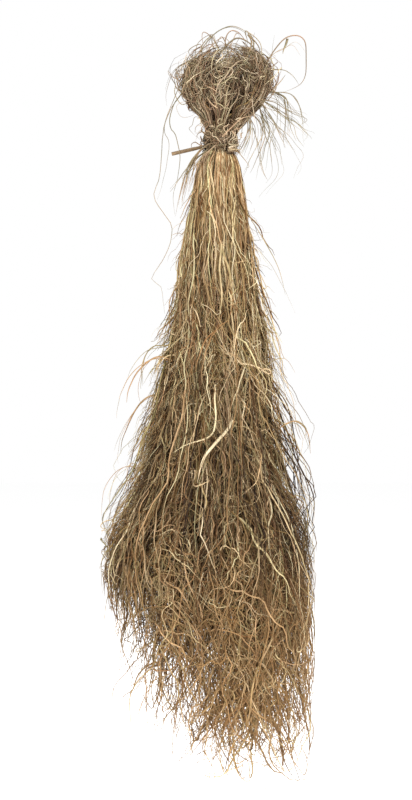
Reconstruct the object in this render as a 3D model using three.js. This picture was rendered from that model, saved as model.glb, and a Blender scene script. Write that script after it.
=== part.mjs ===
// A hank of sun-dried grass, the loose garnish of a ghillie suit, as it hangs from its bound neck.
// Long stems are folded into a tousled crown and gathered in a neck, which a flat sedge blade binds.
// Below the neck they fall as a skirt: a heart, a ring of inner locks and a ring of outer locks.
// Millimetres, +Z up, +X to the right, -Y towards the front. The origin is on the axis of the bound
// neck, where the hank is gripped or hung.
import * as THREE from "three";

// ---- Driving dimensions ----------------------------------------------------------------------
// The gathered neck, which is as tall as its binding, and the ball of fibre in which the hank
// bends just below it, on the plumb line of the skirt's weight.
const neck = { halfWidth: 19, halfDepth: 17, bottom: -6 };
const throat = { radius: 7.6, clearance: 0.4, plumbX: -3, plumbY: -4 };

// The binding: a flat blade wound round the neck, its tucked end and its cut end.
const strap = { width: 5.6, thickness: 1.8, turns: 3, turnGap: 0.5, clearance: 0.5, startAngle: -60 };
const tuck = { fromAngle: -68, toAngle: -14, width: 6.6, clearance: 0.5 };
const tail = { radius: 2.3, rootRadius: 1.9, flareLength: 12, bore: 1.3, boreDepth: 9, length: 38,
  drop: 9, angle: 184, height: -1.5, clearance: 0.4 };

// The skirt's outline, every `pitch` down from its top: how far it reaches to each side of the
// origin, in front and behind, and how far its middle drifts towards the longest tip.
const skirt = {
  pitch: 60,
  left: [29, 42, 50, 59, 68, 88, 110, 126, 138, 141, 122, 96, 70],
  right: [27, 38, 47, 55, 63, 73, 83, 93, 101, 104, 103, 98, 88],
  front: [25, 35, 43, 50, 57, 66, 75, 83, 88, 90, 86, 76, 62],
  back: [25, 34, 41, 47, 52, 59, 66, 72, 76, 77, 74, 66, 54],
  drift: [0, 0, 0, 0, 0, 2, 4, 6, 8, 12, 16, 20, 23],
};

// The crown's outline in the same way, from its bottom up.
const crown = {
  neckGap: 0.5,
  pitch: 18,
  left: [17, 26, 43, 50, 50, 43, 22],
  right: [22, 38, 54, 62, 66, 60, 38],
  front: [17, 27, 40, 47, 49, 42, 22],
  back: [17, 26, 38, 44, 46, 39, 21],
  drift: [2, 4, 5, 5, 8, 10, 12],
};

// Rings of bunches, as shares of the outline's reach, with the angle left open between neighbours.
const heartShare = 0.38;
const innerRing = { inner: 0.4, outer: 0.68, openDegrees: 2 };
const outerRing = { inner: 0.695, outer: 1, openDegrees: 1.3 };
const crownCoreShare = 0.56;
const crownRing = { inner: 0.59, outer: 1, openDegrees: 2.5 };

// How far below the skirt's top each bunch ends, counted round from the right.
const heartLength = 733;
const innerLengths = {
  right: 694, back_right: 700, back: 676, back_left: 640,
  left: 606, front_left: 640, front: 690, front_right: 704,
};
const outerLengths = {
  right_lock: { front: 652, side: 640, back: 624 },
  back_lock: { right: 640, middle: 606, left: 578 },
  left_lock: { back: 548, side: 532, front: 560 },
  front_lock: { left: 584, middle: 604, right: 642 },
};

// How far below the crown's full height its core and each tuft of it end.
const coreDrop = 8;
const tuftDrops = {
  right: 0, back_right: 6, back: 11, back_left: 5, left: 9, front_left: 3, front: 7, front_right: 2,
};

// Wisps that spill out of the crown and droop: the side and the level, in steps of its outline,
// at which each leaves it, and its path from there.
const spills = {
  crown_spill_right: { radius: 6, angle: 0, level: 3.75,
    path: [[12, 0, 1], [24, -4, -6], [31, -8, -30], [34, -10, -64], [31, -11, -98]] },
  crown_spill_left: { radius: 5, angle: 180, level: 3.5,
    path: [[-9, 0, 1], [-17, -3, -8], [-22, -5, -30], [-24, -5, -56], [-21, -4, -80]] },
};
const spillClearance = 0.6;

// A bunch's section is a fluted slice of its ring. Its length swells in lobes, then rounds off.
const bunch = { sides: 12, stations: 11, flute: 0.93, squareness: 0.6, swell: 0.05, tipShare: 0.1 };
const taperFrom = { outer: 0.84, inner: 0.74, heart: 0.66, tuft: 0.8, core: 0.62 };
const spillTip = 0.35;
const sides = { neck: 16, strap: 8, tail: 12, throatRound: 14, throatUp: 10 };
const strapStepDegrees = 20;

// ---- Looks -----------------------------------------------------------------------------------
const looks = {
  outerGrass: { color: 0x92775a, roughness: 0.85 },
  innerGrass: { color: 0x755b3d, roughness: 0.9 },
  crownGrass: { color: 0x86725c, roughness: 0.88 },
  sedgeBlade: { color: 0x86775a, roughness: 0.6 },
  reedStem: { color: 0x8a7459, roughness: 0.55 },
};

// ---- Places worked out from the sizes --------------------------------------------------------
const strapMiddle = strap.clearance + strap.thickness / 2;
const strapOutside = strap.clearance + strap.thickness;
const strapRise = strap.turns * (strap.width + strap.turnGap);
const neckTop = neck.bottom + strapRise + strap.width;
const throatMiddle = neck.bottom - throat.clearance - throat.radius;
const skirtTop = throatMiddle - throat.radius - throat.clearance;
const crownBottom = neckTop + crown.neckGap;
const crownTop = crownBottom + crown.pitch * (crown.left.length - 1);

// ---- Outlines --------------------------------------------------------------------------------
// A value between evenly spaced ones, rounded a little at each of them and held past both ends.
function along(values, place) {
  const at = THREE.MathUtils.clamp(place, 0, values.length - 1);
  const i = Math.min(Math.floor(at), values.length - 2);
  const part = at - i;
  const eased = (part + THREE.MathUtils.smoothstep(part, 0, 1)) / 2;
  return THREE.MathUtils.lerp(values[i], values[i + 1], eased);
}

// The point at a share of an outline's reach, at an angle from +X and a height.
function onOutline(outline, z, share, angle) {
  const from = outline === skirt ? skirtTop - z : z - crownBottom;
  const place = from / outline.pitch;
  const c = Math.cos(angle);
  const s = Math.sin(angle);
  const middle = along(outline.drift, place);
  const reach = c > 0 ? along(outline.right, place) - middle : along(outline.left, place) + middle;
  const depth = s > 0 ? along(outline.back, place) : along(outline.front, place);
  return new THREE.Vector3(middle + share * reach * c, share * depth * s, z);
}

// Pushes a round section's cosine or sine out towards a square one.
function squared(value) {
  return Math.sign(value) * Math.pow(Math.abs(value), bunch.squareness);
}

// How full a bunch is at a share t of its length: lobes all the way, and rounding off at the end.
function fullness(t, lobes, from) {
  const lobed = 1 - bunch.swell * (1 - Math.cos(2 * Math.PI * lobes * t)) / 2;
  const past = Math.max(t - from, 0) / (1 - from);
  return lobed * Math.max(Math.sqrt(Math.max(1 - past * past, 0)), bunch.tipShare);
}

// ---- Shapes ----------------------------------------------------------------------------------
// A closed body: rim(t, turn) places its side, and middle(t) the centres of its two end caps, where
// t is 0 at its root and 1 at its tip. rootIsLow says which end of the cylinder the root is.
function shaped(around, stations, rootIsLow, rim, middle) {
  const geometry = new THREE.CylinderGeometry(1, 1, 1, around, stations);
  const position = geometry.attributes.position;
  for (let i = 0; i < position.count; i++) {
    const up = position.getY(i) + 0.5;
    const t = rootIsLow ? up : 1 - up;
    const x = position.getX(i);
    const y = -position.getZ(i);
    const onAxis = Math.hypot(x, y) < 0.5;
    const p = onAxis ? middle(t) : rim(t, Math.atan2(y, x));
    position.setXYZ(i, p.x, p.y, p.z);
  }
  geometry.computeVertexNormals();
  return geometry;
}

// One bunch of a ring, from its root to its tip.
function ringBunch(outline, ring, angle, spread, root, tip, lobes, taper) {
  const shareMiddle = (ring.inner + ring.outer) / 2;
  const shareHalf = (ring.outer - ring.inner) / 2;
  const angleHalf = (spread - THREE.MathUtils.degToRad(ring.openDegrees)) / 2;
  const height = (t) => THREE.MathUtils.lerp(root, tip, t);
  const rim = (t, turn) => {
    const corner = Math.round(turn / (2 * Math.PI) * bunch.sides);
    const full = fullness(t, lobes, taper) * (corner % 2 === 0 ? bunch.flute : 1);
    const share = shareMiddle + squared(Math.cos(turn)) * shareHalf * full;
    return onOutline(outline, height(t), share, angle + squared(Math.sin(turn)) * angleHalf * full);
  };
  const middle = (t) => onOutline(outline, height(t), shareMiddle, angle);
  return shaped(bunch.sides, bunch.stations, root < tip, rim, middle);
}

// The middle of an outline, out to a share of its reach, from its root to its tip.
function coreBunch(outline, share, root, tip, lobes, taper) {
  const height = (t) => THREE.MathUtils.lerp(root, tip, t);
  const rim = (t, turn) => onOutline(outline, height(t), share * fullness(t, lobes, taper), turn);
  const middle = (t) => onOutline(outline, height(t), 0, 0);
  return shaped(bunch.sides, bunch.stations, root < tip, rim, middle);
}

// A wisp that leaves the crown at a point of its outside and thins towards its tip.
function spillBunch({ radius, angle, level, path }) {
  const turned = THREE.MathUtils.degToRad(angle);
  const tuftMiddle = (crownRing.inner + crownRing.outer) / 2;
  const tuftHalf = (crownRing.outer - crownRing.inner) / 2;
  const tuftFace = tuftMiddle + tuftHalf * bunch.flute * (1 - bunch.swell / 2);
  const root = onOutline(crown, crownBottom + level * crown.pitch, tuftFace, turned);
  root.x += spillClearance * Math.sign(Math.cos(turned));
  const points = [root, ...path.map((step) => new THREE.Vector3(...step).add(root))];
  const curve = new THREE.CatmullRomCurve3(points);
  const depth = new THREE.Vector3(0, 1, 0);
  const rim = (t, turn) => {
    const ahead = curve.getTangent(t);
    const across = new THREE.Vector3().crossVectors(depth, ahead).normalize();
    const back = new THREE.Vector3().crossVectors(ahead, across);
    const thick = radius * THREE.MathUtils.lerp(1, spillTip, t);
    return curve.getPoint(t)
      .addScaledVector(across, thick * Math.cos(turn))
      .addScaledVector(back, thick * Math.sin(turn));
  };
  return shaped(bunch.sides, bunch.stations, true, rim, (t) => curve.getPoint(t));
}

// A flat blade laid round the neck at a distance from it, from one angle and height to another.
function blade(fromAngle, toAngle, fromHeight, toHeight, off, width) {
  const point = (t, out, up) => {
    const angle = THREE.MathUtils.degToRad(THREE.MathUtils.lerp(fromAngle, toAngle, t));
    const z = THREE.MathUtils.lerp(fromHeight, toHeight, t) + up;
    return new THREE.Vector3((neck.halfWidth + off + out) * Math.cos(angle),
      (neck.halfDepth + off + out) * Math.sin(angle), z);
  };
  const rim = (t, turn) => point(t, squared(Math.cos(turn)) * strap.thickness / 2,
    squared(Math.sin(turn)) * width / 2);
  const steps = Math.ceil(Math.abs(toAngle - fromAngle) / strapStepDegrees);
  return shaped(sides.strap, steps, false, rim, (t) => point(t, 0, 0));
}

// ---- The pieces ------------------------------------------------------------------------------
const hank = new THREE.Group();

function add(name, geometry, look) {
  const mesh = new THREE.Mesh(geometry, new THREE.MeshStandardMaterial({ ...look, metalness: 0 }));
  mesh.name = name;
  hank.add(mesh);
  return mesh;
}

function addNeck() {
  const height = (t) => THREE.MathUtils.lerp(neck.bottom, neckTop, t);
  const rim = (t, turn) => new THREE.Vector3(neck.halfWidth * Math.cos(turn),
    neck.halfDepth * Math.sin(turn), height(t));
  const middle = (t) => new THREE.Vector3(0, 0, height(t));
  add("neck_fibres", shaped(sides.neck, 2, true, rim, middle), looks.innerGrass);
  const ball = new THREE.SphereGeometry(throat.radius, sides.throatRound, sides.throatUp);
  add("throat_fibres", ball, looks.innerGrass).position.set(throat.plumbX, throat.plumbY, throatMiddle);
}

function addBinding() {
  const lowTurn = neck.bottom + strap.width / 2;
  add("neck_binding", blade(strap.startAngle, strap.startAngle + 360 * strap.turns, lowTurn,
    lowTurn + strapRise, strapMiddle, strap.width), looks.sedgeBlade);
  const tuckOff = strapOutside + tuck.clearance + strap.thickness / 2;
  add("binding_tuck", blade(tuck.fromAngle, tuck.toAngle, neckTop - tuck.width / 2,
    neck.bottom + tuck.width / 2, tuckOff, tuck.width), looks.sedgeBlade);
}

// The cut end of the stem that is wound in with the blade. A reed, it is hollow at the cut.
function addTail() {
  const angle = THREE.MathUtils.degToRad(tail.angle);
  const off = strapOutside + tail.clearance;
  const root = new THREE.Vector3((neck.halfWidth + off) * Math.cos(angle),
    (neck.halfDepth + off) * Math.sin(angle), tail.height);
  const aim = new THREE.Vector3(Math.cos(angle), Math.sin(angle), 0)
    .multiplyScalar(tail.length).setZ(-tail.drop).normalize();
  const profile = [
    new THREE.Vector2(0, 0),
    new THREE.Vector2(tail.rootRadius, 0),
    new THREE.Vector2(tail.radius, tail.flareLength),
    new THREE.Vector2(tail.radius, tail.length),
    new THREE.Vector2(tail.bore, tail.length),
    new THREE.Vector2(tail.bore, tail.length - tail.boreDepth),
    new THREE.Vector2(0, tail.length - tail.boreDepth),
  ];
  const stem = add("binding_tail", new THREE.LatheGeometry(profile, sides.tail), looks.reedStem);
  stem.position.copy(root);
  stem.quaternion.setFromUnitVectors(new THREE.Vector3(0, 1, 0), aim);
}

function addSkirt() {
  const heart = coreBunch(skirt, heartShare, skirtTop, skirtTop - heartLength, 6, taperFrom.heart);
  add("skirt_heart", heart, looks.innerGrass);
  const inner = Object.entries(innerLengths);
  const innerSpread = 2 * Math.PI / inner.length;
  inner.forEach(([where, length], i) => {
    const lobes = 4 + i % 3;
    add("inner_lock_" + where, ringBunch(skirt, innerRing, i * innerSpread, innerSpread, skirtTop,
      skirtTop - length, lobes, taperFrom.inner), looks.innerGrass);
  });
  Object.entries(outerLengths).forEach(([side, locks], quarter) => {
    const around = Object.entries(locks);
    const spread = Math.PI / 2 / around.length;
    around.forEach(([where, length], i) => {
      const angle = quarter * Math.PI / 2 + (i - (around.length - 1) / 2) * spread;
      const lobes = 3 + i;
      add(side + "_" + where, ringBunch(skirt, outerRing, angle, spread, skirtTop, skirtTop - length,
        lobes, taperFrom.outer), looks.outerGrass);
    });
  });
}

function addCrown() {
  const coreTop = crownTop - coreDrop;
  add("crown_core", coreBunch(crown, crownCoreShare, crownBottom, coreTop, 2, taperFrom.core),
    looks.innerGrass);
  const tufts = Object.entries(tuftDrops);
  const spread = 2 * Math.PI / tufts.length;
  tufts.forEach(([where, drop], i) => {
    add("crown_tuft_" + where, ringBunch(crown, crownRing, i * spread, spread, crownBottom,
      crownTop - drop, 2, taperFrom.tuft), looks.crownGrass);
  });
  for (const [name, spill] of Object.entries(spills)) {
    add(name, spillBunch(spill), looks.crownGrass);
  }
}

addNeck();
addBinding();
addTail();
addSkirt();
addCrown();

export default hank;
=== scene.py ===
import math

import bpy
import numpy as np
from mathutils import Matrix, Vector


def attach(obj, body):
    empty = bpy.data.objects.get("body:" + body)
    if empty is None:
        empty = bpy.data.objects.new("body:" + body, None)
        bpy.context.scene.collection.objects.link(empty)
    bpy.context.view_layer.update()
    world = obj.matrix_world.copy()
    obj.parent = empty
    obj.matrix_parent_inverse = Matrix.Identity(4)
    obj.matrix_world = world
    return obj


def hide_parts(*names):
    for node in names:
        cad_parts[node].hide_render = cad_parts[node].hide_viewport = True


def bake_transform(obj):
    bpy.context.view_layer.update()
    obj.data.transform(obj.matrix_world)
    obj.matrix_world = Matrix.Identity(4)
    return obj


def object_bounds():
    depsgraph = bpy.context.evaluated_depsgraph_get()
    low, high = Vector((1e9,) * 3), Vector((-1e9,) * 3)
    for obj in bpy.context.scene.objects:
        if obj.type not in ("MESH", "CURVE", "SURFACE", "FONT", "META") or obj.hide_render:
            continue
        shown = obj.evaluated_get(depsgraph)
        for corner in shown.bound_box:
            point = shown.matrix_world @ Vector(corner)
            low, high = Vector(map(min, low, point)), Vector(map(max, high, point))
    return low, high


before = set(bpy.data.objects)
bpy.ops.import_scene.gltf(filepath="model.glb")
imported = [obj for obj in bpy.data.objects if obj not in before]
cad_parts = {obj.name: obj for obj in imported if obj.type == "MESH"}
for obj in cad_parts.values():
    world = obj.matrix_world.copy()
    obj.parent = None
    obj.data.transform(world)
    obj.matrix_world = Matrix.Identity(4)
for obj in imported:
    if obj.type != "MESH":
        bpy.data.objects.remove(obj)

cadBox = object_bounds()
mm = 0.001
scene = bpy.context.scene


def hexColour(text):  # an sRGB hex value as linear RGBA
    values = [int(text[i:i + 2], 16) / 255 for i in (0, 2, 4)]
    return tuple(v / 12.92 if v <= 0.04045 else ((v + 0.055) / 1.055) ** 2.4 for v in values) + (1,)


def addNode(tree, kind, inputs=None, **settings):  # a node with its settings, and its inputs set or linked
    node = tree.nodes.new(kind)
    for key, value in settings.items():
        setattr(node, key, value)
    for key, value in (inputs or {}).items():
        if isinstance(value, bpy.types.NodeSocket):
            tree.links.new(value, node.inputs[key])
        else:
            node.inputs[key].default_value = value
    return node


def setRamp(node, stops):
    ramp = node.color_ramp
    while len(ramp.elements) < len(stops):
        ramp.elements.new(1)
    for element, (place, colour) in zip(ramp.elements, stops):
        element.position = place
        element.color = hexColour(colour)


# Sun-dried grass: dead stems and blades with a thin waxy skin, which leaves them matt with a weak shine.
# Each list holds the hues of single stems, from the darkest to the rare bleached ones.
dryGrass = {
    "skirt": ["4a3016", "6a4a28", "8a6a44", "a3845e", "b69a76", "83754f", "cbb28e", "e2d2ae"],
    "crown": ["402c1c", "5c432f", "775f48", "8c725b", "9e8770", "736a53", "b39f87", "cdbb9f"],
    # the inner list holds darker hues: painted shade for the stems hidden deep inside the hank
    "inner": ["2e1f10", "3c2a17", "4b3720", "5d462c", "695437", "4e462e", "755c3c", "876d49"],
    "tints": [(0.0, "f4e0cb"), (0.25, "ffffff"), (0.55, "f3f3e6"), (0.8, "e2e8d0"), (1.0, "f6e0d4")],
    "roughness": 0.6,
    "shine": 0.3,
    # painted shade: the dark brown that stems deep inside a bunch are mixed towards
    "paintedShadeColour": "261404",
    "paintedTopLightHeights": (-0.5, -0.25), "paintedTopLight": 0.08,   # in m: painted light: stems higher up are given lighter hues, where more light falls on them
    # painted light: the pale warm colour that stems near the bottom of the hem are mixed towards, and the
    # heights in m over which it grows
    "paintedHemLight": "c89a64", "paintedHemLightHeights": (-0.48, -0.68),
    "blotchSize": 30, "blotchStrength": 0.6,   # the size in mm along a stem
    "grainSize": 1.1,   # mm, coarser than the real fibres, which are too fine to show
    "grainHeight": 0.3, "grainStrength": 0.25,
}


def makeGrass(name, tones, hemLightStrength):
    material = bpy.data.materials.new(name)
    material.use_nodes = True
    tree = material.node_tree
    tree.nodes.clear()
    place = addNode(tree, "ShaderNodeTexCoord")
    tone = addNode(tree, "ShaderNodeAttribute", attribute_name="tone")
    hue = addNode(tree, "ShaderNodeAttribute", attribute_name="hue")
    deep = addNode(tree, "ShaderNodeAttribute", attribute_name="deep")
    blotch = addNode(tree, "ShaderNodeTexNoise", {
        "Vector": place.outputs["Object"], "Scale": 1 / (dryGrass["blotchSize"] * mm), "Detail": 3.0})
    shifted = addNode(tree, "ShaderNodeMath", {0: blotch.outputs["Fac"], 1: 0.5}, operation="SUBTRACT")
    height = addNode(tree, "ShaderNodeSeparateXYZ", {0: place.outputs["Object"]}).outputs[2]
    # painted light: stems higher up are shifted to lighter hues
    paintedTopLight = addNode(tree, "ShaderNodeMapRange", {
        0: height, 1: dryGrass["paintedTopLightHeights"][0], 2: dryGrass["paintedTopLightHeights"][1], 3: 0.0,
        4: dryGrass["paintedTopLight"]}).outputs[0]
    toned = addNode(tree, "ShaderNodeMath", {0: tone.outputs["Fac"], 1: paintedTopLight}, operation="ADD")
    varied = addNode(tree, "ShaderNodeMath", {
        0: shifted.outputs[0], 1: dryGrass["blotchStrength"], 2: toned.outputs[0]},
        operation="MULTIPLY_ADD", use_clamp=True)
    ramp = addNode(tree, "ShaderNodeValToRGB", {"Fac": varied.outputs[0]})
    setRamp(ramp, [(i / (len(tones) - 1), tone) for i, tone in enumerate(tones)])
    tint = addNode(tree, "ShaderNodeValToRGB", {"Fac": hue.outputs["Fac"]})
    setRamp(tint, dryGrass["tints"])
    tinted = addNode(tree, "ShaderNodeMix", {
        "Factor": 1.0, 6: ramp.outputs["Color"], 7: tint.outputs["Color"]},
        data_type="RGBA", blend_type="MULTIPLY")
    # painted shade: each stem is mixed towards the dark brown by the `deep` attribute, which grows the
    # further inside its bunch it runs
    shaded = addNode(tree, "ShaderNodeMix", {
        "Factor": deep.outputs["Fac"], 6: tinted.outputs[2], 7: hexColour(dryGrass["paintedShadeColour"])},
        data_type="RGBA")
    # painted light: near the bottom of the hem the stems are mixed towards a pale warm colour, where light
    # falls through them
    hem = addNode(tree, "ShaderNodeMapRange", {
        0: height, 1: dryGrass["paintedHemLightHeights"][0], 2: dryGrass["paintedHemLightHeights"][1], 3: 0.0,
        4: hemLightStrength}).outputs[0]
    hemLightened = addNode(tree, "ShaderNodeMix", {
        "Factor": hem, 6: shaded.outputs[2], 7: hexColour(dryGrass["paintedHemLight"])}, data_type="RGBA")
    grain = addNode(tree, "ShaderNodeTexNoise", {
        "Vector": place.outputs["Object"], "Scale": 1 / (dryGrass["grainSize"] * mm), "Detail": 2.0})
    bump = addNode(tree, "ShaderNodeBump", {
        "Height": grain.outputs["Fac"], "Strength": dryGrass["grainStrength"],
        "Distance": dryGrass["grainHeight"] * mm})
    shader = addNode(tree, "ShaderNodeBsdfPrincipled", {
        "Base Color": hemLightened.outputs[2], "Roughness": dryGrass["roughness"], "IOR": 1.45,
        "Specular IOR Level": dryGrass["shine"], "Normal": bump.outputs["Normal"]})
    addNode(tree, "ShaderNodeOutputMaterial", {"Surface": shader.outputs[0]})
    return material


# the last number is how strongly each grass gets the painted light at the hem
skirtGrass = makeGrass("sunDriedSkirtGrass", dryGrass["skirt"], 0.25)
crownGrass = makeGrass("sunDriedCrownGrass", dryGrass["crown"], 0)
# painted shade: the inner grass has darker hues for the stems hidden deep inside the hank
innerPaintedShadeGrass = makeGrass("innerGrassPaintedShade", dryGrass["inner"], 0.55)
print("materials made")


# One Geometry Nodes tree grows every bunch of stems along guide lines. Each guide carries, at every
# point, `side` and `depth`, the half widths of its bunch as vectors, and `loose`, how far its stems have
# come loose there, from 0 where they are bound to 1 at the hem. A guide may also make its stems thicker
# by `girth`, and give them all one tone with `base`. Angles are in radians and lengths in metres.
bunchInputs = {
    "Guides": "Geometry", "Material": "Material", "Seed": "Int",
    "Stems per guide": "Int",
    "Points": "Int",             # along one stem
    "Thickness": "Float",        # half the width of a stem
    "Flatness": "Float",
    "Shell": "Float",            # how deep the stems go: -1 fills the bunch, 0.8 keeps to its outside
    "Spread": "Float",
    "Clump": "Int",              # stems that run together
    "Clump spread": "Float",
    "First start": "Float", "Last start": "Float",      # where stems begin along the guide, 0 to 1
    "Least length": "Float", "Most length": "Float",    # as a share of the guide
    "Heading": "Float",          # the most that a stem sets off sideways from its guide
    "Wander": "Float",           # the most that it turns to and fro on its way
    "Wander size": "Float",
    "Tip curl": "Float",         # the most that its tip curls
    "Lift": "Float",             # how far it turns in and out of the bunch
    "Roam": "Float",             # how far it may stray from its guide before it is drawn back
    "Hold": "Float", "Hold centre": "Vector", "Hold radii": "Vector",   # draws stems on to a ball
    "Least corner": "Vector", "Most corner": "Vector",  # the box that stems bend back from
}

stemForm = {
    "boxShare": (0.88, 1.0),    # how near to its box's side a stem comes
    "turnRoom": 4,              # mm in which it bends back from there
    "twist": 3.0,
    "taper": 0.8,               # the share of its width that its tip has lost
    "leastGirth": 0.65, "extraGirth": 1.3,
    # painted shade: how far stems deep inside a bunch are darkened
    "paintedShadeStrength": 0.62,
}


def makeBunchTree():
    tree = bpy.data.node_groups.new("grassBunch", "GeometryNodeTree")
    for name, kind in bunchInputs.items():
        tree.interface.new_socket(name=name, in_out="INPUT", socket_type="NodeSocket" + kind)
    tree.interface.new_socket(name="Stems", in_out="OUTPUT", socket_type="NodeSocketGeometry")
    given = addNode(tree, "NodeGroupInput").outputs

    def maths(operation, a, b=0.0, c=0.0):
        return addNode(tree, "ShaderNodeMath", {0: a, 1: b, 2: c}, operation=operation).outputs[0]

    def vectors(operation, a, b=(0, 0, 0), output=0):
        return addNode(tree, "ShaderNodeVectorMath", {0: a, 1: b}, operation=operation).outputs[output]

    def scaled(a, size):
        return addNode(tree, "ShaderNodeVectorMath", {0: a, "Scale": size}, operation="SCALE").outputs[0]

    def chance(low, high, who, offset):  # a random number that stays the same along one stem
        seed = maths("ADD", given["Seed"], float(offset))
        return addNode(tree, "FunctionNodeRandomValue", {2: low, 3: high, 7: who, 8: seed},
                       data_type="FLOAT").outputs[1]

    def stored(name, kind="FLOAT"):
        return addNode(tree, "GeometryNodeInputNamedAttribute", {"Name": name}, data_type=kind).outputs[0]

    def swing(walked, size, who, offset):  # a smooth turn to and fro along a stem, about -1 to 1
        place = addNode(tree, "ShaderNodeCombineXYZ", {
            "X": maths("DIVIDE", walked, size), "Y": maths("MULTIPLY", who, 3.71),
            "Z": maths("ADD", given["Seed"], float(offset))})
        noise = addNode(tree, "ShaderNodeTexNoise", {
            "Vector": place.outputs[0], "Scale": 1.0, "Detail": 1.0})
        return maths("MULTIPLY", maths("SUBTRACT", noise.outputs["Fac"], 0.5), 3.6)

    lines = addNode(tree, "GeometryNodeMeshToCurve", {"Mesh": given["Guides"]})
    copies = addNode(tree, "GeometryNodeDuplicateElements", {
        "Geometry": lines.outputs[0], "Amount": given["Stems per guide"]}, domain="SPLINE")
    index = addNode(tree, "GeometryNodeInputIndex").outputs[0]
    numbered = addNode(tree, "GeometryNodeStoreNamedAttribute", {
        "Geometry": copies.outputs[0], "Name": "stem", "Value": index}, data_type="INT", domain="CURVE")
    stem = stored("stem", "INT")
    clump = maths("FLOOR", maths("DIVIDE", stem, given["Clump"]))
    start = chance(given["First start"], given["Last start"], stem, 1)
    length = chance(given["Least length"], given["Most length"], stem, 2)
    end = maths("MINIMUM", maths("ADD", start, length), 1.0)
    trimmed = addNode(tree, "GeometryNodeTrimCurve", {
        "Curve": numbered.outputs[0], "Start": start, "End": end}, mode="FACTOR")
    even = addNode(tree, "GeometryNodeResampleCurve", {
        "Curve": trimmed.outputs[0], "Count": given["Points"]}, mode="COUNT")

    # where the stem runs inside its bunch
    parameter = addNode(tree, "GeometryNodeSplineParameter")
    along = parameter.outputs["Factor"]
    walked = parameter.outputs["Length"]
    sideways = maths("MULTIPLY_ADD", chance(-1.0, 1.0, stem, 4), given["Clump spread"],
                     chance(-1.0, 1.0, clump, 5))
    outwards = maths("MULTIPLY_ADD", chance(-1.0, 1.0, stem, 6), given["Clump spread"],
                     chance(given["Shell"], 1.0, clump, 7))
    side = stored("side", "FLOAT_VECTOR")
    depth = stored("depth", "FLOAT_VECTOR")
    offset = vectors("ADD", scaled(side, maths("MULTIPLY", sideways, given["Spread"])),
                     scaled(depth, maths("MULTIPLY", outwards, given["Spread"])))

    # how it turns on its way: its steps are added up, so it may bend right round
    loose = stored("loose")
    heading = maths("MULTIPLY_ADD", sideways, -0.8, chance(-1.0, 1.0, stem, 8))
    turns = maths("MULTIPLY", heading, given["Heading"])
    turns = maths("MULTIPLY_ADD", swing(walked, given["Wander size"], clump, 20),
                  maths("MULTIPLY", given["Wander"], 0.6), turns)
    turns = maths("MULTIPLY_ADD", swing(walked, maths("MULTIPLY", given["Wander size"], 0.5), stem, 40),
                  maths("MULTIPLY", given["Wander"], 0.55), turns)
    curl = maths("MULTIPLY", maths("POWER", chance(-1.0, 1.0, stem, 9), 3.0), given["Tip curl"])
    turns = maths("MULTIPLY_ADD", maths("POWER", along, 2.5), curl, turns)
    turns = maths("MULTIPLY", turns, loose)
    lifts = maths("MULTIPLY", maths("MULTIPLY", swing(walked, given["Wander size"], stem, 60),
                                    given["Lift"]), loose)
    total = addNode(tree, "GeometryNodeSplineLength").outputs[0]
    step = maths("DIVIDE", total, maths("SUBTRACT", given["Points"], 1.0))
    tangent = addNode(tree, "GeometryNodeInputTangent").outputs[0]
    stepVector = scaled(vectors("NORMALIZE", side), maths("SINE", turns))
    stepVector = vectors("ADD", stepVector, scaled(vectors("NORMALIZE", depth), maths("SINE", lifts)))
    stepVector = vectors("ADD", stepVector, scaled(tangent, maths("SUBTRACT", maths("COSINE", turns), 1.0)))
    stepVector = scaled(stepVector, step)
    walk = addNode(tree, "GeometryNodeAccumulateField", {"Value": stepVector, "Group ID": stem},
                   data_type="FLOAT_VECTOR", domain="POINT").outputs[1]
    strayed = maths("DIVIDE", vectors("LENGTH", walk, output=1), given["Roam"])
    walk = scaled(walk, maths("DIVIDE", 1.0, maths("ADD", strayed, 1.0)))
    position = addNode(tree, "GeometryNodeInputPosition").outputs[0]
    place = vectors("ADD", vectors("ADD", position, offset), walk)

    # drawn on to its ball, then bent back from the sides of its box
    fromCentre = vectors("SUBTRACT", place, given["Hold centre"])
    reach = vectors("LENGTH", vectors("DIVIDE", fromCentre, given["Hold radii"]), output=1)
    beyond = maths("MAXIMUM", maths("SUBTRACT", reach, 1.0), 0.0)
    held = maths("SUBTRACT", 1.0, maths("DIVIDE", maths("MULTIPLY", beyond, given["Hold"]),
                                        maths("MAXIMUM", reach, 1.0)))
    place = vectors("ADD", given["Hold centre"], scaled(fromCentre, held))
    parts = addNode(tree, "ShaderNodeSeparateXYZ", {0: place}).outputs
    least = addNode(tree, "ShaderNodeSeparateXYZ", {0: given["Least corner"]}).outputs
    most = addNode(tree, "ShaderNodeSeparateXYZ", {0: given["Most corner"]}).outputs
    share = chance(*stemForm["boxShare"], stem, 18)

    def bentBack(value, limit, sign):  # turns round smoothly before it reaches the box's side
        gap = maths("SUBTRACT", maths("MULTIPLY", limit, share), value)
        rounded = maths("SQRT", maths("MULTIPLY_ADD", gap, gap, (stemForm["turnRoom"] * mm) ** 2))
        return maths("MULTIPLY_ADD", rounded, -sign, maths("MULTIPLY", limit, share))

    bounded = [bentBack(bentBack(parts[i], most[i], 1.0), least[i], -1.0) for i in range(2)]
    bounded.append(bentBack(parts[2], least[2], -1.0))
    boxed = addNode(tree, "ShaderNodeCombineXYZ", {0: bounded[0], 1: bounded[1], 2: bounded[2]}).outputs[0]
    moved = addNode(tree, "GeometryNodeSetPosition", {"Geometry": even.outputs[0], "Position": boxed})
    tilted = addNode(tree, "GeometryNodeSetCurveTilt", {
        "Curve": moved.outputs[0],
        "Tilt": maths("MULTIPLY_ADD", along, chance(-stemForm["twist"], stemForm["twist"], stem, 12),
                      chance(0.0, 6.28, stem, 13))})

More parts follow.
